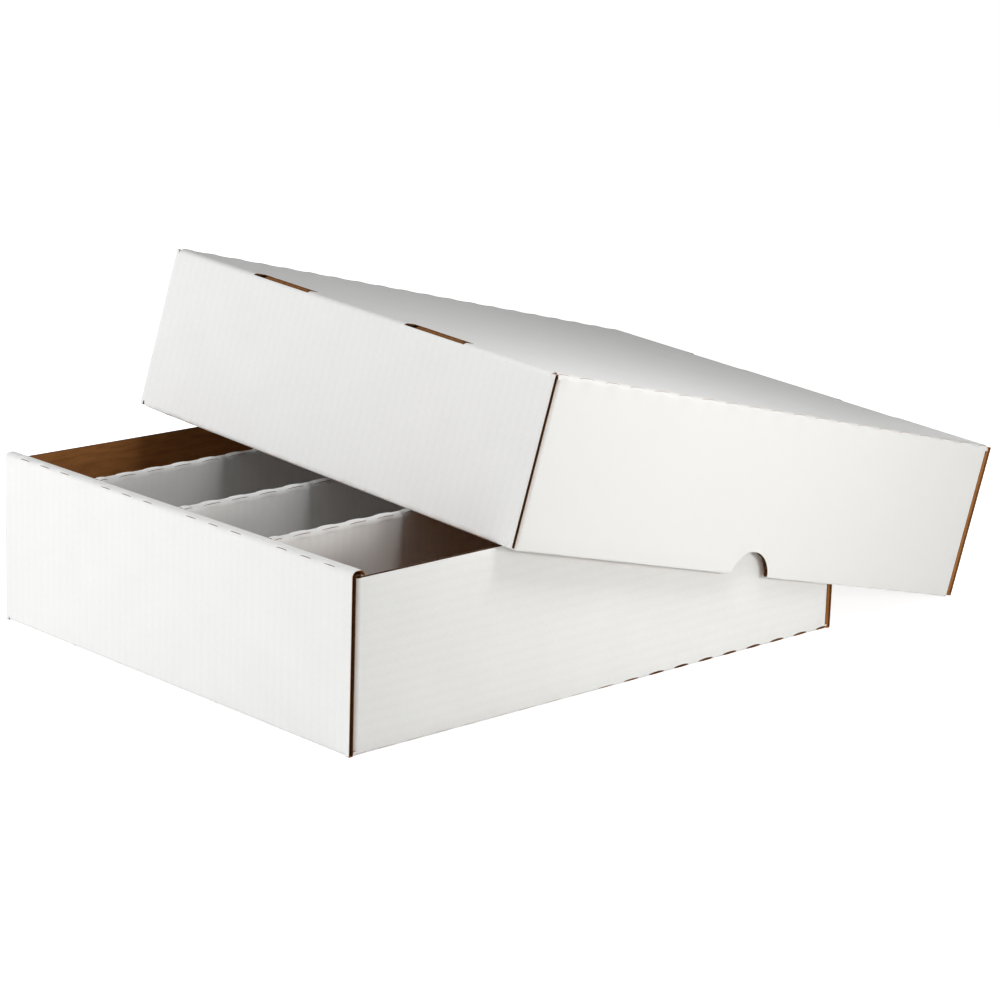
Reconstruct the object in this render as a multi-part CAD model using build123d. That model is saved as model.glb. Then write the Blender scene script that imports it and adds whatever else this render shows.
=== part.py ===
"""Trading card storage box of folded white corrugated board.

A base tray with four card rows, three folded dividers and a loose lid that leans across the tray.
Tray and lid are both roll-end blanks: each end wall rolls over its corner flaps and locks with tabs.
Millimetres, +Z up, +X along the card rows, origin at the centre of the underside of the base.
"""

import os
from math import asin, atan2, cos, degrees, hypot, sin, sqrt, tan

from build123d import *

# Board
board = 3.0  # thickness of the corrugated board
bend_inner = 0.5  # inside radius of every fold
fit_gap = 0.5  # room between cut edges that pass each other

# Base tray, outside
base_length = 387.0
base_width = 318.0
base_height = 104.0
base_wall_drop = 4.5  # the side walls end this far below the rolled end rims

# Lid, outside; its length and width follow from the base
lid_height = 99.5
lid_clearance = 3.3  # air between the closed lid and the base, each side
lid_wall_drop = 0.0
ear_drop = 0.8  # the ears of the end walls, beside folds and rims, stop this far inside the outer faces
notch_width = 34.0  # thumb notch in the edge of both lid sides
notch_depth = 14.5

# Corner flaps and locking tabs
flap_length = 65.0
flap_chamfer = 14.0
tab_width = 60.5
tab_offset = 67.0  # from the middle of the end wall to the middle of a tab
tab_recess = 0.3  # the tab ends stay this far inside the outer face
tab_taper = 6.0  # the tabs narrow this much at both corners
slot_reach = 1.2  # the tab slots cut this far into the fold of the end wall

# Dividers
rows = 4
leaf_gap = 0.6  # between the two leaves of a folded divider
divider_drop = 1.0  # divider ridges lie this far below the end rims
tongue_height = 32.0
tongue_level = 50.0  # height of the middle of the end tongues

# Cut scores that let the board fold
slit_width = 1.2
slit_depth = 2.0
fold_slit_length = 12.5
fold_slit_pitch = 20.8  # nearest spacing that fits whole along a fold
rim_slit_length = 9.0
rim_slits_per_row = 3

# How the lid leans on the base
lid_setback = 104.0  # from the left end of the base to the lid's near left corner
seat_gap = 0.05  # under the lid where it rests on the near wall
rub_gap = 0.05  # least air between the leaning lid and the base walls
tilt_share = 0.62  # part of the side play that the sideways tilt takes up

# Sizes that follow
bend_outer = board + bend_inner
rolled_end = 3 * board
lid_length = base_length + 2 * (rolled_end + lid_clearance)
lid_width = base_width + 2 * (board + lid_clearance)
divider_thickness = 2 * board + leaf_gap
row_pitch = (base_width - 2 * board + divider_thickness) / rows
divider_places = [(i - rows / 2) * row_pitch for i in range(1, rows)]
divider_top = base_height - divider_drop
ridge_level = divider_top - divider_thickness / 2


def block(x0, x1, y0, y1, z0, z1):
    """Box between two corners."""
    return Pos((x0 + x1) / 2, (y0 + y1) / 2, (z0 + z1) / 2) * Box(x1 - x0, y1 - y0, z1 - z0)


def strip(u0, u1, v0, v1):
    """Straight run of board in a profile."""
    return Pos((u0 + u1) / 2, (v0 + v1) / 2) * Rectangle(u1 - u0, v1 - v0)


def fold(u, v, side_u, side_v):
    """Quarter ring of board whose outer corner is at (u, v), on the given sides of its centre."""
    ring = Circle(bend_outer) - Circle(bend_inner)
    quarter = Pos(side_u * bend_outer / 2, side_v * bend_outer / 2) * Rectangle(bend_outer, bend_outer)
    return Pos(u - side_u * bend_outer, v - side_v * bend_outer) * (ring & quarter)


def slits(places, length, radius, facing):
    """Cut scores along X on a fold of this radius round the X axis; they face up, turned towards -Y."""
    cut = Rot(facing, 0, 0) * Pos(0, 0, radius) * Box(length, slit_width, 2 * slit_depth)
    return [Pos(place, 0, 0) * cut for place in places]


def fold_slit_places(length):
    """Evenly spaced places from end to end of a fold of this length."""
    spaces = round(length / fold_slit_pitch)
    return [(i / spaces - 0.5) * length for i in range(spaces + 1)]


def main_panel(length, width):
    """Flat bottom of a tray, with the slots that take the locking tabs."""
    x, y = length / 2 - bend_outer, width / 2 - bend_outer
    panel = block(-x, x, -y, y, 0, board)
    return panel - tab_slots(length, -1, board) - tab_slots(length, 1, board)


def tab_slots(length, end, reach):
    """Room for the two tabs at one end, this deep from the outer face; it opens through the fold."""
    slot = Box(2 * (rolled_end + fit_gap), tab_width + 2 * fit_gap, 2 * reach)
    return [Pos(end * length / 2, side * tab_offset, 0) * slot for side in (-1, 1)]


def side_wall(length, width, height, drop, notched):
    """Near side wall between its corner flaps; its bottom fold runs on to the folds of the end walls."""
    half = length / 2 - board - bend_outer
    wall = block(-half, half, -width / 2, -width / 2 + board, bend_outer, height - drop)
    wall += extrude(Plane.YZ * fold(-width / 2, 0, -1, -1), amount=length / 2 - bend_outer, both=True)
    centre = Pos(0, -width / 2 + bend_outer, bend_outer)
    places = fold_slit_places(2 * half)
    wall -= [centre * slit for slit in slits(places, fold_slit_length, bend_outer, 135)]
    if notched:
        radius = (notch_width**2 / 4 + notch_depth**2) / (2 * notch_depth)
        middle = Pos(0, -width / 2, height - drop - notch_depth + radius)
        wall -= middle * Rot(90, 0, 0) * Cylinder(radius, 3 * board)
    return wall


def corner_flap(length, width, height, drop):
    """Flap that turns from the near side wall into the left end wall, with its free corners cut off."""
    x, y = -length / 2 + board, -width / 2
    profile = fold(x, y, -1, -1) + strip(x, x + board, y + bend_outer, y + flap_length)
    low, high = bend_outer + fit_gap, height - max(drop, bend_outer + fit_gap)
    flap = extrude(Pos(0, 0, low) * profile, amount=high - low)
    corner = Rot(45, 0, 0) * Box(4 * board, sqrt(2) * flap_chamfer, sqrt(2) * flap_chamfer)
    return flap - [Pos(x, y + flap_length, level) * corner for level in (low, high)]


def end_wall(length, width, height, rim_width):
    """Outer board of the left end wall with its bottom fold; ears stand beside the fold and a narrow rim."""
    x = -length / 2
    top = height - bend_outer if rim_width == width else height - ear_drop
    wall = block(x, x + board, -width / 2, width / 2, ear_drop, top)
    wall -= block(x, x + board, -width / 2 + board, width / 2 - board, ear_drop, bend_outer)
    if rim_width < width:
        ear = rim_width / 2 + fit_gap
        wall -= block(x, x + board, -ear, ear, height - bend_outer, top)
    wall += extrude(Plane.XZ * fold(x, 0, -1, -1), amount=width / 2 - bend_outer, both=True)
    return wall - tab_slots(length, -1, slot_reach)


def end_rim(length, width, height):
    """Rolled rim of the left end: the board turns over the flaps in two folds with cut scores outside."""
    outer, inner = -length / 2, -length / 2 + rolled_end
    profile = fold(outer, height, -1, 1) + fold(inner, height, 1, 1)
    profile += strip(outer + bend_outer, inner - bend_outer, height - board, height)
    rim = extrude(Plane.XZ * profile, amount=width / 2, both=True)
    step = row_pitch / (rim_slits_per_row + 1)
    count = rows * (rim_slits_per_row + 1)
    places = [(i - count / 2) * step for i in range(1, count) if i % (rim_slits_per_row + 1)]
    turn = Pos(outer + bend_outer, 0, height - bend_outer) * Rot(0, 0, -90)
    return rim - [turn * slit for slit in slits(places, rim_slit_length, bend_outer, 45)]


def end_lining(length, width, height, with_divider_slots):
    """Inner board of the left end wall: it stands on the bottom and its tabs lock into the bottom slots."""
    x0, x1 = -length / 2 + 2 * board, -length / 2 + rolled_end
    half = width / 2 - board - fit_gap
    lining = block(x0, x1, -half, half, board, height - bend_outer)
    root, tip = tab_width / 2, tab_width / 2 - tab_taper
    outline = Polygon((-tip, tab_recess), (tip, tab_recess), (root, board), (-root, board), align=None)
    tab = extrude(Plane.YZ * outline, amount=board)
    lining += [Pos(x0, side * tab_offset, 0) * tab for side in (-1, 1)]
    if with_divider_slots:
        opening = Box(4 * board, divider_thickness + 2 * fit_gap, tongue_height + 2 * fit_gap)
        lining -= [Pos(x0, y, tongue_level) * opening for y in divider_places]
    return lining


def tray(length, width, height, drop, is_lid):
    """All boards of one roll-end tray that opens upwards, by name; a lid's rims lie between its sides."""
    near = side_wall(length, width, height, drop, is_lid)
    flap = corner_flap(length, width, height, drop)
    rim_width = width - 2 * (board + fit_gap) if is_lid else width
    ends = {
        "end": end_wall(length, width, height, rim_width),
        "rim": end_rim(length, rim_width, height),
        "lining": end_lining(length, width, height, not is_lid),
    }
    boards = {"top" if is_lid else "bottom": main_panel(length, width)}
    boards["side_near"] = near
    boards["side_far"] = mirror(near, about=Plane.XZ)
    for side, piece in (("near", flap), ("far", mirror(flap, about=Plane.XZ))):
        boards[f"flap_{side}_left"] = piece
        boards[f"flap_{side}_right"] = mirror(piece, about=Plane.YZ)
    for name, piece in ends.items():
        boards[f"{name}_left"] = piece
        boards[f"{name}_right"] = mirror(piece, about=Plane.YZ)
    return boards


def divider_leaf(y):
    """Outer board of a divider at its near face, with a tongue at each end."""
    x = base_length / 2 - rolled_end - fit_gap
    tip = base_length / 2 - board - fit_gap
    low, high = tongue_level - tongue_height / 2, tongue_level + tongue_height / 2
    leaf = block(-x, x, y, y + board, board, ridge_level)
    return leaf + block(-tip, tip, y, y + board, low, high)


def divider_ridge():
    """Folded ridge that joins the two leaves, with cut scores along both shoulders."""
    half = base_length / 2 - rolled_end - fit_gap
    radius = divider_thickness / 2
    ring = Circle(radius) - Circle(leaf_gap / 2)
    profile = ring & Pos(0, radius / 2) * Rectangle(2 * radius, radius)
    ridge = extrude(Plane.YZ * profile, amount=half, both=True)
    places = fold_slit_places(2 * half)
    for facing in (-45, 45):
        ridge -= slits(places, fold_slit_length, radius, facing)
    return ridge


def dividers():
    """Three folded dividers between the rows, each of two leaves and a ridge."""
    ridge = divider_ridge()
    pieces = {}
    for number, y in enumerate(divider_places, 1):
        pieces[f"divider_{number}_leaf_near"] = divider_leaf(y - divider_thickness / 2)
        pieces[f"divider_{number}_leaf_far"] = divider_leaf(y + leaf_gap / 2)
        pieces[f"divider_{number}_ridge"] = Pos(0, y, ridge_level) * ridge
    return pieces


def lid_lean():
    """Place of the leaning lid: its left rim lies on the near wall, its near right corner on the floor."""
    wall_top = base_height - base_wall_drop + seat_gap
    run = lid_length - rolled_end
    slope = asin(wall_top / run)
    reach = lid_setback + lid_length * cos(slope) - base_length
    engaged = wall_top - reach * tan(slope)
    play = 2 * (lid_clearance - rub_gap)
    tilt = asin(tilt_share * play / engaged)

    side_step = sin(tilt) * (lid_width - base_width) / 2
    slope = asin(wall_top / hypot(run, side_step)) - atan2(side_step, run)
    far_start = lid_setback + cos(slope) * sin(tilt) * lid_width / tan(slope)
    turn = sin(slope) * sin(tilt) + (1 - tilt_share) * play / (base_length - far_start)

    corner = -cos(slope) * lid_length / 2 - sin(slope) * sin(tilt) * lid_width / 2
    x = lid_setback - base_length / 2 - cos(turn) * corner - sin(turn) * cos(tilt) * lid_width / 2
    z = sin(slope) * lid_length / 2 + cos(slope) * (sin(tilt) * lid_width / 2 - cos(tilt) * ear_drop)

    across_x = cos(turn) * sin(slope) * sin(tilt) - sin(turn) * cos(tilt)
    across_y = sin(turn) * sin(slope) * sin(tilt) + cos(turn) * cos(tilt)
    across_z = cos(slope) * sin(tilt)
    y = across_x * (far_start - 2 * x) + across_z * (2 * wall_top - engaged - 2 * z)
    y /= 2 * across_y
    angles = [degrees(a) for a in (turn, slope, tilt)]
    return Pos(x, y, z) * Rot(0, 0, angles[0]) * Rot(0, angles[1], 0) * Rot(angles[2], 0, 0)


def lid():
    """The lid is a tray turned over and leaned on the base."""
    place = lid_lean() * Pos(0, 0, lid_height)
    boards = tray(lid_length, lid_width, lid_height, lid_wall_drop, True)
    return {name: place * mirror(piece, about=Plane.XY) for name, piece in boards.items()}


def assembly():
    """Every board of the box by node name, in place."""
    base = tray(base_length, base_width, base_height, base_wall_drop, False)
    nodes = {f"base_{name}": piece for name, piece in base.items()}
    nodes.update(dividers())
    nodes.update({f"lid_{name}": piece for name, piece in lid().items()})
    return nodes


os.makedirs("parts", exist_ok=True)
for node, piece in assembly().items():
    piece.label = node
    export_step(piece, f"parts/{node}.step")
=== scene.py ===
"""Looks of the trading card storage box, on its CAD frame.

Every board is rebuilt as corrugated board: a white outer liner, a kraft inner liner and a fluted core
between them, open along the cut edges, with cut scores along the folds. Boards are shaped in millimetres
in the frame of their own tray, whose outer face lies at z = 0 and which opens towards +z, and are then
put in place in metres.
"""

import math
from collections import namedtuple
from dataclasses import dataclass
from typing import Callable, Sequence

import bmesh
import bpy
import numpy as np
from mathutils import Matrix, Vector


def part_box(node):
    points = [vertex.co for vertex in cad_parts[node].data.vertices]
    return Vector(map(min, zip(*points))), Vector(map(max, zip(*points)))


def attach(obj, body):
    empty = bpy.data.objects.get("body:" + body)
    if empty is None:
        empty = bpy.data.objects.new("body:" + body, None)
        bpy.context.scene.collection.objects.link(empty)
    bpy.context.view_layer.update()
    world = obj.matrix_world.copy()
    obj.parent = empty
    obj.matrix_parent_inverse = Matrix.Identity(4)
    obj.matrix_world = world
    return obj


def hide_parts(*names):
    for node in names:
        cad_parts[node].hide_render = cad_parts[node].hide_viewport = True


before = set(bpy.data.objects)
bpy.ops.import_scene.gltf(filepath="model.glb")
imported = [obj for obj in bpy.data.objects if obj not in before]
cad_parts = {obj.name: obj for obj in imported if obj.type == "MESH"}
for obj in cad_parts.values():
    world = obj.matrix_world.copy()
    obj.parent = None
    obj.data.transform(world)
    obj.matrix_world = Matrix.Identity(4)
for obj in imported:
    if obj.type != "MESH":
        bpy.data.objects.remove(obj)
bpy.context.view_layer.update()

metre = 1000.0  # in millimetres
to_metres = Matrix.Scale(1 / metre, 4)

# Corrugated board, millimetres
liner = 0.32  # thickness of the paper of liners and core
flute_pitch = 6.4
flute_drift = 0.012  # slope of the flutes against the cut edges
edge_pinch = 0.45  # how far each liner is squeezed in along the cut edges
open_pinch = 0.08  # and at the left end of the base, where the board stays open
core_recess = 2.4  # how far the core lies back from cut edges that follow the flutes
core_gap = 0.03  # between the crests of the core and the liners

# Mesh lines of the boards, millimetres
flat_grid = 12.0  # spacing on flat board
bend_grid = 0.7  # round the folds
core_grid = 24.0  # and along the flutes of the core
lines_per_flute = 8
lines_per_slit = 8
pinch_lines = (0.4, 0.9, 1.6)  # beside a squeezed edge; the last is how wide it is squeezed
mouth_room = bend_grid / 4  # no other line lies closer than this to the mouth of a cut score
edge_tolerance = 1e-3  # within which a line is the edge of a cut score
line_decimals = 5  # to which lines are rounded
count_slack = 1e-6  # keeps rounding errors from adding a line
crease_angle = 40  # sharper folds, in degrees, are shaded as edges

# Cut scores along the folds, millimetres: half the width of the mouth, and how far its lips stand out
base_fold_score = (1.25, 0.15)
lid_fold_score = (0.1, 1.1)
rim_score = (0.2, 0.4)
ridge_score = (0.15, 0.9)
slit_end = 0.1  # half the width of a score at its ends
lip_reach = 2.6  # from a score to where its lips die out
fold_slit_length = 12.5
fold_slit_pitch = 20.8
rim_slit_length = 9.0
rim_slits_per_row = 3

# Where the scores lie, as shares of the bend
base_fold_turn = 0.66
lid_fold_turn = 0.5
rim_turn = 0.5
ridge_turns = (0.25, 0.75)

# The scores of the base gape more and more from left to right, millimetres
gape_start = -30.0  # place along the fold from which they open
gape_run = 80.0  # distance after which they are fully open
least_gape = 0.1  # share of the mouth that is always open

# Thumb notch in both lid sides, millimetres
notch_width = 34.0
notch_depth = 14.5
notch_segments = 96

# Locking tabs and the ears of the end walls, millimetres
slot_reach = 1.2  # the tab slots cut this far into the fold of the end wall
tab_taper = 6.0  # the tabs narrow this much at both corners
ear_drop = 0.8  # the ears, beside the folds, stop this far inside the outer faces
ear_slit = 0.1  # cut between an ear and the folds beside it

# Warp of the boards at its most, millimetres
wall_bow = 0.8
wall_bow_growth = 1.5  # power by which the bow grows from the fold to the open edge
lid_crown = 3.0
divider_bow = 1.2

# Papers, by their place in every board's list of materials
white_face, kraft_face, core_with_painted_shade = range(3)
pattern_shift = 40.0  # millimetres between the patterns of the papers
wave_rate = 20  # radians that the wave texture turns per unit

# Camera at the photo's viewing angle, in metres and degrees
camera_place = (-1.24364, -1.37743, 0.57146)
camera_azimuth = -43.473
camera_elevation = 14.849
camera_roll = 1.794
camera_lens = 114.942
camera_sensor = 36.0

# White surroundings and floor
white = (1, 1, 1)
warm_white = (1, 0.99, 0.95)
ambient = 0.12  # strength of the light from all around
floor_glow = 0.85  # of the floor as the camera sees it
floor_colour = (0.85, 0.85, 0.85, 1)
floor_roughness = 0.9
floor_half = 6.0  # metres from its middle to its edges
floor_cells = 12  # along each edge

# Softboxes: place, target, width and height in metres, power in watts, tint
softboxes = {
    "key": ((-1.5, 0.5, 0.55), (0, 0, 0.1), (0.9, 0.6), 17.8, white),
    "fill": ((0.18, -0.8, 0.2), (0.12, -0.16, 0.1), (0.3, 0.15), 2.1, warm_white),
    "top": ((0.02, -0.36, 0.58), (0.02, -0.42, 0), (0.2, 0.2), 1.5, white),
    "back": ((0.15, 1.45, 0.42), (0, 0.1, 0.08), (0.7, 0.12), 8.0, white),
    "right": ((0.85, 0, 0.03), (0.3, 0, 0.06), (0.6, 0.04), 1.1, white),
}


def local_points(node, place):
    """Corners of a CAD node in a tray's own frame, in millimetres."""
    inverse = np.array(place.inverted())
    points = np.array([v.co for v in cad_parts[node].data.vertices])
    return points @ inverse[:3, :3].T + inverse[:3, 3]


def local_box(node, place):
    """Lowest and highest corner of a CAD node in a tray's own frame."""
    points = local_points(node, place)
    return points.min(axis=0), points.max(axis=0)


# Sizes read from the CAD frame, millimetres
board = metre * (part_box("base_bottom")[1][2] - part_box("base_bottom")[0][2])
end_thickness = 3 * board  # outer board, corner flap and lining
divider_boxes = [[metre * Vector(c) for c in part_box(f"divider_{i}_ridge")] for i in (1, 2, 3)]
divider_places = [(low.y + high.y) / 2 for low, high in divider_boxes]
ridge_low, ridge_high = divider_boxes[0]
divider_thickness = ridge_high.y - ridge_low.y
divider_half = ridge_high.x
ridge_level = ridge_low.z
row_pitch = divider_places[1] - divider_places[0]
rows = len(divider_places) + 1
leaf = local_points("divider_1_leaf_near", to_metres)
tongue_tip = leaf[:, 0].max()
tongue_heights = leaf[leaf[:, 0] > (divider_half + tongue_tip) / 2][:, 2]
tongue_levels = tongue_heights.min(), tongue_heights.max()


class Shader:
    """Node tree of one procedural material."""

    def __init__(self, name):
        self.material = bpy.data.materials.new(name)
        self.material.use_nodes = True
        self.tree = self.material.node_tree
        self.surface = self.tree.nodes["Principled BSDF"]

    def node(self, kind, **inputs):
        """A new node with these inputs set to a value or linked from a socket."""
        made = self.tree.nodes.new(kind)
        for name, value in inputs.items():
            self.feed(made.inputs[name], value)
        return made

    def feed(self, socket, value):
        """Sets a socket to a value, or links another socket to it."""
        if isinstance(value, bpy.types.NodeSocket):
            self.tree.links.new(value, socket)
        else:
            socket.default_value = value

    def grain(self, across, along):
        """Board coordinates in millimetres, scaled across and along the flutes."""
        attribute = self.node("ShaderNodeAttribute")
        attribute.attribute_name = "grain"
        scales = (across, along, along)
        scaled = self.node("ShaderNodeMapping", Vector=attribute.outputs["Vector"], Scale=scales)
        return scaled.outputs["Vector"]

    def noise(self, across, along, detail):
        """Cloudy pattern with this many features per millimetre across and along the flutes."""
        vector = self.grain(across, along)
        return self.node("ShaderNodeTexNoise", Vector=vector, Scale=1.0, Detail=detail).outputs[0]

    def flutes(self):
        """Wave that follows the flutes under the liner."""
        rate = math.tau / (wave_rate * flute_pitch)
        return self.node("ShaderNodeTexWave", Vector=self.grain(1, 1), Scale=rate).outputs["Fac"]

    def ramp(self, pattern, *stops):
        """Colours of a pattern, from one (level, colour) stop to the other."""
        made = self.node("ShaderNodeValToRGB", Fac=pattern)
        for element, (level, colour) in zip(made.color_ramp.elements, stops):
            element.position = level
            element.color = (*colour, 1)
        return made.outputs["Color"]

    def shade(self, colour, share, pattern, low, tone, high):
        """Darkens a colour by a share of a tone where a pattern is low, and not where it is high."""
        tones = self.ramp(pattern, (low, tone), (high, white))
        made = self.node("ShaderNodeMix", Factor=share)
        made.data_type = "RGBA"
        made.blend_type = "MULTIPLY"
        first, second = (s for s in made.inputs if s.type == "RGBA")
        self.feed(first, colour)
        self.feed(second, tones)
        return [s for s in made.outputs if s.type == "RGBA"][0]

    def scale(self, value, factor, added=0.0):
        """value * factor + added."""
        made = self.node("ShaderNodeMath")
        made.operation = "MULTIPLY_ADD"
        for socket, term in zip(made.inputs, (value, factor, added)):
            self.feed(socket, term)
        return made.outputs[0]

    def finish(self, colour, roughness, height, relief, specular):
        """Joins colour, roughness, relief in metres and gloss to the surface."""
        bump = self.node("ShaderNodeBump", Height=height, Strength=1.0, Distance=relief)
        self.feed(self.surface.inputs["Normal"], bump.outputs["Normal"])
        self.feed(self.surface.inputs["Base Color"], colour)
        self.feed(self.surface.inputs["Roughness"], roughness)
        self.feed(self.surface.inputs["Specular IOR Level"], specular)
        return self.material


def white_paper():
    """Clay-coated white liner: faint clouds and fibres, and the flutes under it, as bump and as faint
    painted shade of their ripple.
    """
    shader = Shader("white_liner")
    clouds = shader.noise(across=0.03, along=0.03, detail=4)
    fibres = shader.noise(across=1.6, along=0.35, detail=6)
    flutes = shader.flutes()
    colour = shader.ramp(clouds, (0.3, (0.825, 0.825, 0.815)), (0.7, (0.845, 0.845, 0.835)))
    colour = shader.shade(colour, 0.06, fibres, low=0.35, tone=(0.55, 0.53, 0.5), high=0.6)
    # Painted shade: faint darker lines where the flutes ripple the liner; the same wave also goes into
    # the bump below
    colour = shader.shade(colour, 0.03, flutes, low=0.0, tone=(0.6, 0.58, 0.55), high=0.7)
    roughness = shader.scale(fibres, factor=0.2, added=0.5)
    height = shader.scale(flutes, factor=0.6, added=shader.scale(fibres, factor=0.5))
    return shader.finish(colour, roughness, height, relief=0.00008, specular=0.35)


def kraft_paper():
    """Brown kraft liner with long fibres, dark specks and marks of the flutes."""
    shader = Shader("kraft_liner")
    fibres = shader.noise(across=0.5, along=0.06, detail=8)
    specks = shader.noise(across=0.9, along=0.9, detail=3)
    flutes = shader.flutes()
    colour = shader.ramp(fibres, (0.3, (0.33, 0.13, 0.033)), (0.7, (0.46, 0.193, 0.058)))
    colour = shader.shade(colour, 0.35, specks, low=0.28, tone=(0.3, 0.25, 0.2), high=0.4)
    colour = shader.shade(colour, 0.12, flutes, low=0.1, tone=(0.5, 0.45, 0.4), high=0.6)
    roughness = shader.scale(fibres, factor=0.2, added=0.75)
    height = shader.scale(flutes, factor=0.8, added=shader.scale(fibres, factor=0.6))
    return shader.finish(colour, roughness, height, relief=0.00006, specular=0.2)


def core_paper_with_painted_shade():
    """Coarse brown paper of the fluted core and the cut edges, coloured darker than it is: painted shade
    of the deep flutes and the gaps between the liners.
    """
    shader = Shader("core_with_painted_shade")
    fibres = shader.noise(across=0.8, along=0.3, detail=6)
    # Painted shade: the brown core is coloured much darker than its paper, for the shade inside the
    # flutes and in the open cut edges
    colour = shader.ramp(fibres, (0.3, (0.09, 0.045, 0.02)), (0.7, (0.17, 0.085, 0.035)))
    roughness = shader.scale(fibres, factor=0.15, added=0.8)
    return shader.finish(colour, roughness, fibres, relief=0.0001, specular=0.15)


papers = [white_paper(), kraft_paper(), core_paper_with_painted_shade()]


def add_object(name, data):
    """A new object in the scene."""
    made = bpy.data.objects.new(name, data)
    bpy.context.scene.collection.objects.link(made)
    return made


def give_papers(mesh):
    """Gives a mesh the three papers in their order."""
    for paper in papers:
        mesh.materials.append(paper)


# Part of a profile: its length, its mesh spacing, and what gives the outer face at a share of the length
Run = namedtuple("Run", "length spacing at")


def line(start, end, inward):
    """Straight run of the outer face in a profile."""
    start, end, inward = (np.array(p, float) for p in (start, end, inward))

    def at(share):
        return start + (end - start) * share, inward

    return Run(np.linalg.norm(end - start), flat_grid, at)


def bend(centre, radius, begin, finish):
    """Folded run of the outer face round a centre, between two directions in degrees."""

    def at(share):
        angle = math.radians(begin + (finish - begin) * share)
        outward = np.array((math.cos(angle), math.sin(angle)))
        return np.array(centre) + radius * outward, -outward

    return Run(radius * math.radians(abs(finish - begin)), bend_grid, at)


def path_length(path):
    """Length of a profile."""
    return sum(run.length for run in path)


def follow(path, distances):
    """Points of the outer face and directions into the board at these distances along a profile."""
    points, inwards = [], []
    for distance in distances:
        for run in path:
            if distance <= run.length or run is path[-1]:
                break
            distance -= run.length
        point, inward = run.at(distance / run.length)
        points.append(point)
        inwards.append(inward)
    return np.array(points), np.array(inwards)


def spread(start, end, spacing):
    """Even values from start to end, no further apart than spacing."""
    count = math.ceil((end - start) / spacing - count_slack)
    return np.linspace(start, end, max(1, count) + 1)


def merge(*lists):
    """Sorted values of several lists, without repeats."""
    return np.unique(np.round(np.concatenate([np.ravel(values) for values in lists]), line_decimals))


def path_lines(path, flat_spacing):
    """Distances of the mesh lines along a profile, with this spacing on its straight runs."""
    start, lines = 0, []
    for run in path:
        spacing = min(flat_spacing, run.length) if run.spacing == flat_grid else run.spacing
        lines.append(spread(start, start + run.length, spacing))
        start += run.length
    return merge(*lines)


def fold_places(length):
    """Middles of the cut scores along a fold of this length, from end to end."""
    spaces = round(length / fold_slit_pitch)
    return [(i / spaces - 0.5) * length for i in range(spaces + 1)]


def both_sides(start, end):
    """A span on both sides of the middle."""
    return [(-end, -start), (start, end)]


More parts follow.
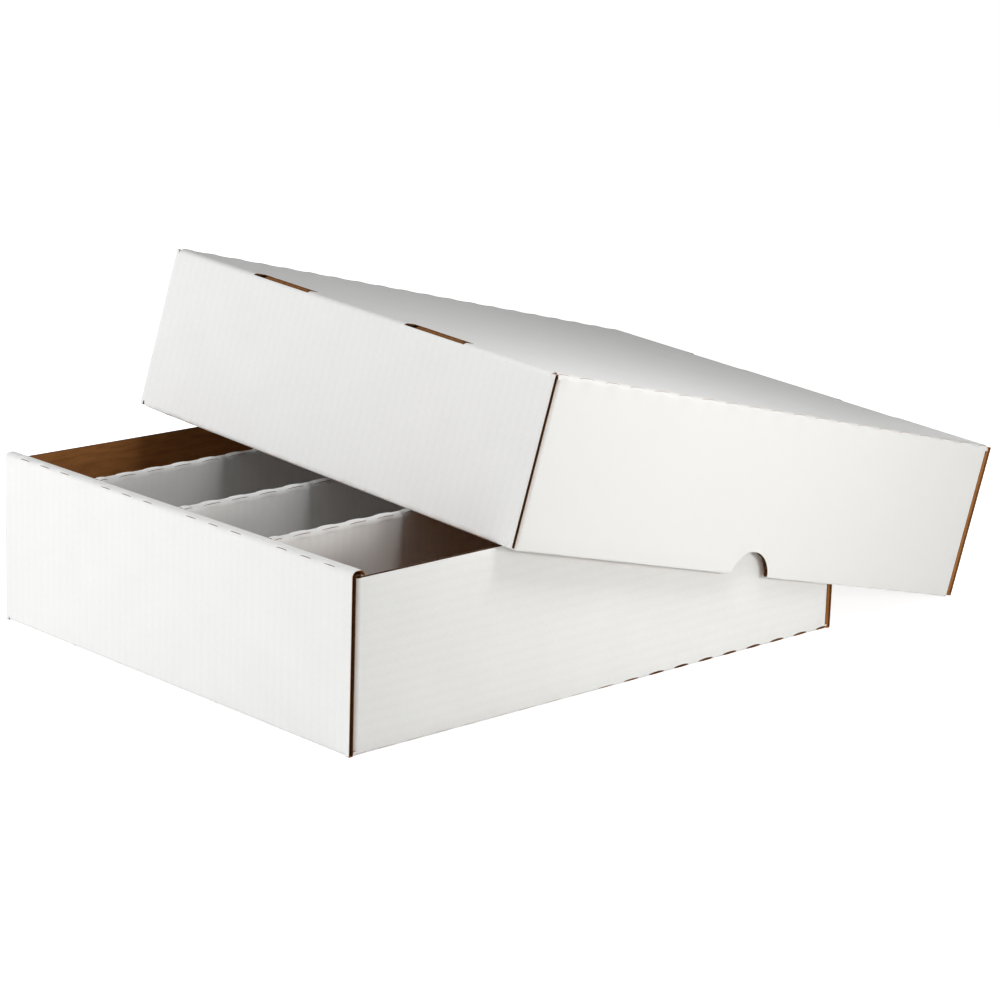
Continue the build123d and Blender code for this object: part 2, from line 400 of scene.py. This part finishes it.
@dataclass
class Board:
    """One board between its folds: a profile swept across, with holes and cut scores."""

    path: Sequence  # runs of the profile
    across: tuple  # where the board starts and ends across its profile
    put: Callable  # turns profile points and places across into points of the tray
    flutes_along: bool  # whether the flutes follow the profile
    holes: Sequence = ()  # start and end along the profile, start and end across it
    slits: Sequence = ()  # cut scores: distance along the profile, places across, length, (mouth, lip)
    warp: Callable = None  # bows the finished points
    taper: Callable = None  # narrows the tabs
    ears: tuple = None  # how far out the ears start, and their own profile
    squeeze: float = edge_pinch  # how far each liner is squeezed in along the free edges
    free_sides: bool = False  # whether both side edges are cut free
    free_end: bool = False  # whether the last edge of the profile is cut free
    closed_edges: Sequence = ()  # distances, places and facing of edges that the white liner closes

    def __post_init__(self):
        self.points, self.faces, self.papers, self.grain = [], [], [], []

    def slit_spans(self):
        """(distance along the profile, start, end, mouth, lip) of every cut score, inside the board."""
        low, high = self.across
        for level, places, length, score in self.slits:
            for place in places:
                yield level, max(low, place - length / 2), min(high, place + length / 2), *score

    def mesh_lines(self, flat_spacing, across_spacing):
        """Mesh lines along the profile and across it that meet the holes and the squeezed edges."""
        low, high = self.across
        total = path_length(self.path)
        along = [path_lines(self.path, flat_spacing)]
        across = [spread(low, high, across_spacing)]
        for hole in self.holes:
            along.append(hole[:2])
            across.append(np.clip(hole[2:], low, high))
        if self.free_sides:
            across += [[low + d, high - d] for d in pinch_lines]
        if self.free_end:
            along.append([total - d for d in pinch_lines])
        return merge(*along), merge(*across)

    def pinch(self, along, over):
        """How far each liner is squeezed towards the core beside the free cut edges."""
        width = pinch_lines[-1]
        margin = np.full(along.shape, width)
        if self.free_sides:
            margin = np.minimum(margin, np.minimum(over - self.across[0], self.across[1] - over))
        if self.free_end:
            margin = np.minimum(margin, path_length(self.path) - along)
        return self.squeeze * (1 - margin / width) ** 2

    def solid_cells(self, along, over, holes):
        """Which cells of a grid of mesh lines lie outside the holes."""
        along = (along[:-1, :-1] + along[1:, 1:]) / 2
        over = (over[:-1, :-1] + over[1:, 1:]) / 2
        solid = np.ones(along.shape, bool)
        for along_start, along_end, over_start, over_end in holes:
            inside = (along_start < along) & (along < along_end)
            solid &= ~(inside & (over_start < over) & (over < over_end))
        return solid

    def sheet_points(self, along, over, depth):
        """Points of a grid of mesh lines, at this depth under the outer face."""
        points, inwards = follow(self.path, along.ravel())
        if self.ears:
            start, ear_path = self.ears
            beyond = abs(over.ravel()) > start
            points[beyond], inwards[beyond] = follow(ear_path, along.ravel()[beyond])
        points = points + inwards * np.ravel(depth)[:, None]
        shown = self.taper(along, over) if self.taper else over
        points = self.put(points[:, 0], points[:, 1], shown.ravel())
        return self.warp(points) if self.warp else points

    def add_sheet(self, along, over, depth, paper, outward, holes=(), opened=None):
        """Adds a sheet of paper through a grid of mesh lines, at this depth under the outer face.

        The mouths of cut scores push lines aside: opened says how far along the profile these then lie.
        """
        first, width = len(self.points), along.shape[1]
        self.points.extend(self.sheet_points(along if opened is None else opened, over, depth))
        across_flutes, along_flutes = (over, along) if self.flutes_along else (along, over)
        shift = np.full(along.shape, pattern_shift * paper)
        self.grain.extend(np.stack([across_flutes, along_flutes, shift], -1).reshape(-1, 3))
        for i, j in zip(*np.nonzero(self.solid_cells(along, over, holes))):
            corner = first + i * width + j
            face = (corner, corner + 1, corner + width + 1, corner + width)
            self.faces.append(face if outward else face[::-1])
            self.papers.append(paper)

    def outer_liner(self, facing):
        """White face, with the opened cut scores."""
        distances, places = self.mesh_lines(flat_grid, flat_grid)
        holes = list(self.holes)
        for level, _, _, (mouth, _) in self.slits:
            distances = distances[abs(distances - level) > mouth + mouth_room]
            distances = merge(distances, [level - slit_end, level + slit_end])
        for level, start, end, _, _ in self.slit_spans():
            places = merge(places, np.linspace(start, end, lines_per_slit + 1))
            holes.append((level - slit_end, level + slit_end, start, end))
        along, over = np.meshgrid(distances, places, indexing="ij")
        depth = self.pinch(along, over)
        opened = along.copy()
        for level, start, end, mouth, lip in self.slit_spans():
            bulge = np.sqrt(np.sin(np.pi * np.clip((over - start) / (end - start), 0, 1)))
            depth -= lip * bulge * np.clip(1 - abs(along - level) / lip_reach, 0, 1)
            edge = np.isclose(abs(along - level), slit_end, atol=edge_tolerance)
            opened += edge * np.sign(along - level) * (mouth - slit_end) * bulge
        self.add_sheet(along, over, depth, white_face, facing, holes, opened)

    def close_edges(self, facing):
        """White liner turned in over the cut edges where two folds meet at a corner."""
        for along, over, outward in self.closed_edges:
            pinch = self.pinch(along, over)
            depth = np.stack([pinch, board - liner - pinch], 1)
            along, over = np.stack([along, along], 1), np.stack([over, over], 1)
            self.add_sheet(along, over, depth, white_face, facing == outward)

    def inner_liner(self, facing):
        """Brown face on the inside of the board."""
        along, over = np.meshgrid(*self.mesh_lines(flat_grid, flat_grid), indexing="ij")
        self.add_sheet(along, over, board - self.pinch(along, over), kraft_face, not facing, self.holes)

    def core(self, facing):
        """Fluted paper between the liners."""
        fine = flute_pitch / lines_per_flute
        if self.flutes_along:
            distances, places = self.mesh_lines(core_grid, fine)
            places = np.clip(places, self.across[0] + core_recess, self.across[1] - core_recess)
        else:
            distances, places = self.mesh_lines(fine, core_grid)
            distances = np.clip(distances, 0, path_length(self.path) - core_recess)
        along, over = np.meshgrid(merge(distances), merge(places), indexing="ij")
        phase = over + flute_drift * along if self.flutes_along else along + flute_drift * over
        middle = (board - liner) / 2
        depth = middle + (middle - liner - core_gap) * np.sin(math.tau * phase / flute_pitch)
        self.add_sheet(along, over, depth, core_with_painted_shade, facing, self.holes)

    def faces_outward(self):
        """Whether mesh faces, as they are numbered, look away from the board's inside."""
        points, inwards = follow(self.path, [0, bend_grid])
        low, high = self.across
        corners = self.put(points[[0, 0, 1], 0], points[[0, 0, 1], 1], np.array([low, high, low]))
        inside = self.put(*(points[0] + inwards[0])[:, None], np.array([low]))[0]
        normal = np.cross(corners[1] - corners[0], corners[2] - corners[0])
        return normal @ (inside - corners[0]) < 0

    def make(self, name, place):
        """The board as a mesh object, its papers given their thickness."""
        facing = self.faces_outward()
        self.outer_liner(facing)
        self.close_edges(facing)
        self.inner_liner(facing)
        self.core(facing)
        mesh = bpy.data.meshes.new(name)
        mesh.from_pydata([place @ Vector(p) for p in self.points], [], self.faces)
        mesh.polygons.foreach_set("material_index", self.papers)
        grain = mesh.attributes.new("grain", "FLOAT_VECTOR", "POINT")
        grain.data.foreach_set("vector", np.ravel(self.grain).astype(np.float32))
        give_papers(mesh)
        made = add_object(name, mesh)
        thicken = made.modifiers.new("paper", "SOLIDIFY")
        thicken.thickness = liner / metre
        thicken.offset = -1
        # The back and the cut edge of each paper look like the next paper
        thicken.material_offset = 1
        thicken.material_offset_rim = 1
        return made


def bake_modifiers(made):
    """Replaces an object's mesh by what its modifiers give, with smooth folds and crisp edges."""
    graph = bpy.context.evaluated_depsgraph_get()
    mesh = bpy.data.meshes.new_from_object(made.evaluated_get(graph), depsgraph=graph)
    made.modifiers.clear()
    made.data = mesh
    mesh.shade_smooth()
    mesh.set_sharp_from_angle(angle=math.radians(crease_angle))


def lid_place():
    """Frame of the leaning lid: origin in the middle of its top face, +x along it, +z into it."""
    corners = [v.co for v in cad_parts["lid_top"].data.vertices]
    top = np.unique(np.round(corners, decimals=6), axis=0)
    along, _, through = np.linalg.svd(top - top.mean(axis=0))[2]
    along = Vector(along * math.copysign(1, along[0]))
    inward = Vector(through * -math.copysign(1, through[2]))
    across = inward.cross(along)
    turn = Matrix((along, across, inward)).transposed().to_4x4()
    upright = turn.inverted()
    inside = [upright @ Vector(p) for p in top]
    low = Vector([min(p[i] for p in inside) for i in range(3)])
    high = Vector([max(p[i] for p in inside) for i in range(3)])
    centre = (low + high) / 2
    return turn @ Matrix.Translation((centre.x, centre.y, low.z)) @ to_metres


def side_profile(a, b, across):
    """Profile points (a, b) of a board that runs along x."""
    return np.stack([across, a, b], 1)


def end_profile(a, b, across):
    """Profile points (a, b) of a board that runs along y."""
    return np.stack([a, across, b], 1)


def flap_profile(a, b, across):
    """Profile points (a, b) of a board that stands along z."""
    return np.stack([a, b, across], 1)


class Tray:
    """Sizes of one roll-end tray, read from the CAD frame, and its boards.

    Ends and sides are told apart by the sign of x and y; near is the sign of the near side.
    """

    def __init__(self, name, panel, place, near):
        self.name = name
        self.panel = f"{name}_{panel}"
        self.place = place
        self.near = near
        self.squeeze = {-1: open_pinch if name == "base" else edge_pinch, 1: edge_pinch}
        end = local_box(f"{name}_end_left", place)
        lining = local_box(f"{name}_lining_left", place)
        side = local_box(f"{name}_side_near", place)
        flap = local_box(f"{name}_flap_near_left", place)
        rim = local_box(f"{name}_rim_left", place)
        self.half_length = -end[0][0]
        self.half_width = end[1][1]
        self.fold = end[1][0] - end[0][0]
        self.end_top = end[1][2]
        self.height = rim[1][2]
        self.rim_half = rim[1][1]
        self.wall_top = side[1][2]
        self.side_half = self.half_length - board - ear_slit
        self.wall_half = self.half_length - board - self.fold
        self.flap_top = flap[1][2]
        self.flap_length = flap[1][1] - flap[0][1]
        self.lining_half = lining[1][1]
        self.gap = self.half_width - board - self.lining_half
        self.tab_end = lining[0][2]
        corners = local_points(f"{name}_lining_left", place)
        tab_places = np.abs(corners[corners[:, 2] < board / 2][:, 1])
        self.tab = tab_places.min(), tab_places.max()

    def tab_spans(self, room):
        """Both tabs across the end wall, widened by room."""
        return both_sides(self.tab[0] - room, self.tab[1] + room)

    def flat_panel(self):
        """Bottom of the tray, or top of the lid, with the tab slots at its ends."""
        x, y = self.half_length - self.fold, self.half_width - self.fold
        reach = end_thickness + self.gap - self.fold
        holes = []
        for span in self.tab_spans(self.gap):
            holes += [(0, reach, *span), (2 * x - reach, 2 * x, *span)]
        crown = lid_crown if self.name == "lid" else 0

        def warp(points):
            bulge = np.cos(np.pi / 2 * points[:, 0] / x) * np.cos(np.pi / 2 * points[:, 1] / y)
            return points - np.outer(bulge, (0, 0, crown))

        path = [line((-x, 0), (x, 0), (0, 1))]
        return Board(path, (-y, y), end_profile, flutes_along=True, holes=holes, warp=warp)

    def fold_slits(self, bend_length):
        """Cut scores along the fold of a side wall."""
        slits = []
        for place in fold_places(2 * self.wall_half):
            share, (mouth, lip) = lid_fold_turn, lid_fold_score
            if self.name == "base":
                share, (mouth, lip) = base_fold_turn, base_fold_score
                mouth *= np.clip((place - gape_start) / gape_run, least_gape, 1)
            slits.append((bend_length * share, [place], fold_slit_length, (mouth, lip)))
        return slits

    def side_wall(self, side):
        """Side wall with its scored fold."""
        y, fold, half = self.half_width, self.fold, self.side_half
        path = [
            bend((side * (y - fold), fold), fold, -90, 0 if side > 0 else -180),
            line((side * y, fold), (side * y, self.wall_top), (-side, 0)),
        ]
        turn, total = path[0].length, path_length(path)
        turn_lines = spread(0, turn, bend_grid)
        turn_ends = [(turn_lines, np.full(len(turn_lines), end * half), end > 0) for end in (-1, 1)]
        bow = side * wall_bow * (1 if self.name == "lid" else -1)

        def warp(points):
            growth = (np.clip(points[:, 2], 0, None) / self.height) ** wall_bow_growth
            lift = np.cos(np.pi / 2 * points[:, 0] / half) * growth
            return points + np.outer(lift, (0, bow, 0))

        return Board(
            path,
            (-half, half),
            side_profile,
            flutes_along=False,
            holes=[(turn, total, *span) for span in both_sides(self.wall_half, half)],
            slits=self.fold_slits(turn),
            warp=warp,
            free_end=True,
            closed_edges=turn_ends,
        )

    def end_wall(self, end):
        """Outer board of an end wall; the tab slots open through its fold, and ears stand beside it."""
        x, fold = self.half_length, self.fold
        path = [
            bend((end * (x - fold), fold), fold, -90, 0 if end > 0 else -180),
            line((end * x, fold), (end * x, self.end_top), (-end, 0)),
        ]
        turn, total = path[0].length, path_length(path)
        slot = fold * math.acos(1 - slot_reach / fold)
        ear_half = self.half_width - board
        fold_half = ear_half - ear_slit
        holes = [(0, slot, *span) for span in self.tab_spans(self.gap)]
        holes += [(0, turn, *span) for span in both_sides(fold_half, ear_half)]
        rim_start = total - (self.end_top - (self.height - fold))
        if rim_start < total:
            rim_ear = self.rim_half + self.gap
            holes.append((rim_start, total, -rim_ear, rim_ear))
        straight = line((end * x, ear_drop), (end * x, fold), (-end, 0))
        ear_path = [path[0]._replace(at=straight.at), path[1]]
        ear_lines = [spread(*span, pinch_lines[0]) for span in both_sides(ear_half, self.half_width)]
        return Board(
            path,
            (-self.half_width, self.half_width),
            end_profile,
            flutes_along=True,
            holes=holes,
            ears=((fold_half + ear_half) / 2, ear_path),
            squeeze=self.squeeze[end],
            free_sides=True,
            closed_edges=[(np.zeros(len(places)), places, True) for places in ear_lines],
        )

    def end_rim(self, end):
        """Rolled rim of an end wall, scored along its outer fold."""
        x, fold, top = self.half_length, self.fold, self.height
        outer, inner = end * (x - fold), end * (x - end_thickness + fold)
        start = 0 if end > 0 else 180
        path = [
            bend((outer, top - fold), fold, start, 90),
            line((outer, top), (inner, top), (0, -1)),
            bend((inner, top - fold), fold, 90, 180 - start),
        ]
        spaces = rim_slits_per_row + 1
        step = row_pitch / spaces
        count = rows * spaces
        places = [(i - count / 2) * step for i in range(1, count) if i % spaces]
        return Board(
            path,
            (-self.rim_half, self.rim_half),
            end_profile,
            flutes_along=True,
            slits=[(path[0].length * rim_turn, places, rim_slit_length, rim_score)],
            squeeze=self.squeeze[end],
            free_sides=True,
        )

    def end_lining(self, end):
        """Inner board of an end wall, down to its locking tabs, with slots for the divider tongues."""
        x = end * (self.half_length - end_thickness)
        top, half = self.height - self.fold, self.lining_half
        path = [line((x, top), (x, self.tab_end), (end, 0))]
        root, tip = top - board, top - self.tab_end
        near, far = self.tab_spans(0)
        between_tabs = [(-half, near[0]), (near[1], far[0]), (far[1], half)]
        holes = [(root, tip, *span) for span in between_tabs]
        if self.name == "base":
            tongue = top - tongue_levels[1] - self.gap, top - tongue_levels[0] + self.gap
            reach = divider_thickness / 2 + self.gap
            holes += [(*tongue, y - reach, y + reach) for y in divider_places]

        def taper(along, over):
            middle = np.sign(over) * (far[0] + far[1]) / 2
            narrowing = 2 * tab_taper / (far[1] - far[0]) * np.clip((along - root) / (tip - root), 0, 1)
            return over - (over - middle) * narrowing

        return Board(path, (-half, half), end_profile, flutes_along=True, holes=holes, taper=taper)

    def corner_flap(self, end, side):
        """Flap that turns from a side wall into an end wall; its bend runs on to the open edge."""
        x, y, fold = end * (self.half_length - board), side * self.half_width, self.fold
        path = [
            bend((x - end * fold, y - side * fold), fold, 90 * side, 0 if end > 0 else 180 * side),
            line((x, y - side * fold), (x, y - side * self.flap_length), (-end, 0)),
        ]
        holes = [(path[0].length, path_length(path), self.flap_top, self.wall_top)]
        return Board(path, (fold, self.wall_top), flap_profile, flutes_along=True, holes=holes)

    def boards(self):
        """Every board of the tray by CAD node name."""
        made = {self.panel: self.flat_panel()}
        sides = {"near": self.near, "far": -self.near}
        ends = {"left": -1, "right": 1}
        for side, sign in sides.items():
            made[f"{self.name}_side_{side}"] = self.side_wall(sign)
            for end, direction in ends.items():
                made[f"{self.name}_flap_{side}_{end}"] = self.corner_flap(direction, sign)
        for end, direction in ends.items():
            made[f"{self.name}_end_{end}"] = self.end_wall(direction)
            made[f"{self.name}_rim_{end}"] = self.end_rim(direction)
            made[f"{self.name}_lining_{end}"] = self.end_lining(direction)
        return made


def divider_warp(points):
    """Dividers bow a little along their length."""
    lift = np.cos(np.pi / 2 * points[:, 0] / tongue_tip) * np.clip(points[:, 2] / ridge_level, 0, 1)
    return points + np.outer(lift, (0, divider_bow, 0))


def divider_leaf(y, inward):
    """One leaf of a folded divider, with a tongue at each end."""
    path = [line((y, board), (y, ridge_level), (inward, 0))]
    low, high = tongue_levels[0] - board, tongue_levels[1] - board
    holes = []
    for span in both_sides(divider_half, tongue_tip):
        holes += [(0, low, *span), (high, path_length(path), *span)]
    across = (-tongue_tip, tongue_tip)
    return Board(path, across, side_profile, flutes_along=True, holes=holes, warp=divider_warp)


def divider_ridge(y):
    """Ridge that joins the leaves of a divider, scored along both shoulders."""
    path = [bend((y, ridge_level), divider_thickness / 2, 180, 0)]
    places = fold_places(2 * divider_half)
    slits = [(path[0].length * share, places, fold_slit_length, ridge_score) for share in ridge_turns]
    across = (-divider_half, divider_half)
    return Board(path, across, side_profile, flutes_along=True, slits=slits, warp=divider_warp)


def dividers():
    """Every divider board by CAD node name."""
    made = {}
    for number, y in enumerate(divider_places, 1):
        made[f"divider_{number}_leaf_near"] = divider_leaf(y - divider_thickness / 2, 1)
        made[f"divider_{number}_leaf_far"] = divider_leaf(y + divider_thickness / 2, -1)
        made[f"divider_{number}_ridge"] = divider_ridge(y)
    return made


def dress(boards, place, body):
    """Makes the boards and lets each stand for its CAD node."""
    for node, shape in boards.items():
        made = shape.make(f"{node}_board", place)
        bake_modifiers(made)
        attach(made, body)
        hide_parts(node)


def notch_cutter(tray, side):
    """Cylinder through the open edge of a lid side, with cut faces of core paper."""
    radius = (notch_width**2 / 4 + notch_depth**2) / (2 * notch_depth)
    middle = Matrix.Translation((0, side * tray.half_width, tray.wall_top - notch_depth + radius))
    lying = tray.place @ middle @ Matrix.Rotation(math.pi / 2, 4, "X")
    size = {"radius1": radius, "radius2": radius, "depth": 2 * end_thickness}
    shape = bmesh.new()
    bmesh.ops.create_cone(shape, cap_ends=True, segments=notch_segments, matrix=lying, **size)
    for face in shape.faces:
        face.material_index = core_with_painted_shade
    mesh = bpy.data.meshes.new("notch")
    shape.to_mesh(mesh)
    shape.free()
    give_papers(mesh)
    return add_object("notch", mesh)


def cut_notch(wall, tray, side):
    """Cuts the rounded thumb notch into the open edge of a lid side."""
    cutter = notch_cutter(tray, side)
    cut = wall.modifiers.new("notch", "BOOLEAN")
    cut.operation = "DIFFERENCE"
    cut.solver = "EXACT"
    cut.object = cutter
    bake_modifiers(wall)
    bpy.data.objects.remove(cutter)


def seen_directly(tree):
    """1 for what the camera sees, also in reflections and through glass."""
    path = tree.nodes.new("ShaderNodeLightPath")
    total = path.outputs["Is Camera Ray"]
    for name in ("Is Glossy Ray", "Is Transmission Ray"):
        add = tree.nodes.new("ShaderNodeMath")
        add.operation = "MAXIMUM"
        tree.links.new(total, add.inputs[0])
        tree.links.new(path.outputs[name], add.inputs[1])
        total = add.outputs[0]
    return total


def floor():
    """Plain white floor that goes over into the background and keeps the box's contact shadow."""
    row = floor_cells + 1
    steps = np.linspace(-floor_half, floor_half, row)
    points = [(x, y, 0) for x in steps for y in steps]
    corners = [i * row + j for i in range(floor_cells) for j in range(floor_cells)]
    faces = [(c, c + row, c + row + 1, c + 1) for c in corners]
    mesh = bpy.data.meshes.new("floor")
    mesh.from_pydata(points, [], faces)
    shader = Shader("floor_white")
    shader.surface.inputs["Base Color"].default_value = floor_colour
    shader.surface.inputs["Roughness"].default_value = floor_roughness
    shader.surface.inputs["Emission Color"].default_value = (*white, 1)
    glow = shader.scale(seen_directly(shader.tree), floor_glow)
    shader.feed(shader.surface.inputs["Emission Strength"], glow)
    mesh.materials.append(shader.material)
    made = add_object("floor", mesh)


def surroundings():
    """Even white surroundings that light the box softly and are plain white to the camera."""
    world = bpy.data.worlds.new("studio")
    world.use_nodes = True
    tree = world.node_tree
    background = tree.nodes["Background"]
    background.inputs["Color"].default_value = (*white, 1)
    strength = tree.nodes.new("ShaderNodeMapRange")
    tree.links.new(seen_directly(tree), strength.inputs["Value"])
    strength.inputs["To Min"].default_value = ambient
    tree.links.new(strength.outputs["Result"], background.inputs["Strength"])
    bpy.context.scene.world = world


def soft_lamp(name, place, target, size, power, tint):
    """Softbox of a width and height that faces a target."""
    lamp = bpy.data.lights.new(name, "AREA")
    lamp.shape = "RECTANGLE"
    lamp.size, lamp.size_y = size
    lamp.energy = power
    lamp.color = tint
    made = add_object(name, lamp)
    made.location = place
    made.rotation_euler = (Vector(target) - Vector(place)).to_track_quat("-Z", "Y").to_euler()


def camera():
    """Camera at the photo's viewing angle."""
    lens = bpy.data.cameras.new("camera")
    lens.lens = camera_lens
    lens.sensor_width = camera_sensor
    made = add_object("camera", lens)
    turn = Matrix.Rotation(math.radians(camera_azimuth), 4, "Z")
    tip = Matrix.Rotation(math.radians(90 - camera_elevation), 4, "X")
    roll = Matrix.Rotation(math.radians(camera_roll), 4, "Z")
    made.matrix_world = Matrix.Translation(camera_place) @ turn @ tip @ roll
    bpy.context.scene.camera = made


base = Tray("base", "bottom", to_metres, -1)
lid = Tray("lid", "top", lid_place(), 1)
dress(base.boards(), base.place, "base")
dress(dividers(), to_metres, "base")
dress(lid.boards(), lid.place, "lid")
for side_name, side_sign in (("near", lid.near), ("far", -lid.near)):
    cut_notch(bpy.data.objects[f"lid_side_{side_name}_board"], lid, side_sign)

floor()
surroundings()
for lamp_name, settings in softboxes.items():
    soft_lamp(lamp_name, *settings)
camera()
bpy.context.scene.view_settings.view_transform = "Standard"
